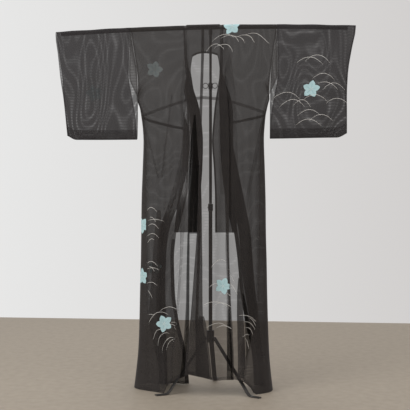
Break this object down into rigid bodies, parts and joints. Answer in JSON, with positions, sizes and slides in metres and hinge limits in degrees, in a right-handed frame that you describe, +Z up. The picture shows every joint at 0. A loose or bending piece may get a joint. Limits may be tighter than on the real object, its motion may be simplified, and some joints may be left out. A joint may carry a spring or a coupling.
{
  "type": "thin summer kimono on a pole stand",
  "caption": "Sheer black summer kimono with wide square sleeves, hung by a pole through its sleeves on a black three-legged stand, back towards the viewer.",
  "frame": {"origin": "centre of the footprint box, on the floor", "axes": "+Z up; +X along the pole, to the right when facing the garment's back; the back faces -Y"},
  "size_m": [1.286, 0.3834, 1.5612],
  "materials": {
    "body_gauze": "sheer matte silk gauze",
    "front_gauze": "sheer matte silk gauze",
    "collar_gauze": "sheer matte silk gauze",
    "sleeve_gauze": "sheer matte silk gauze",
    "black_steel": "satin black paint"
  },
  "bodies": {
    "root": {"back_left": "body_gauze", "back_right": "body_gauze", "front_left": "front_gauze", "front_right": "front_gauze", "overlap_left": "front_gauze", "overlap_right": "front_gauze", "collar": "collar_gauze", "sleeve_left": "sleeve_gauze", "sleeve_right": "sleeve_gauze", "pole": "black_steel", "pole_holder": "black_steel", "mast_upper": "black_steel", "ring_clamp": "black_steel", "mast_middle": "black_steel", "wing_clamp": "black_steel", "mast_lower": "black_steel", "hub": "black_steel", "leg_left": "black_steel", "leg_right": "black_steel", "leg_rear": "black_steel"}
  },
  "joints": []
}
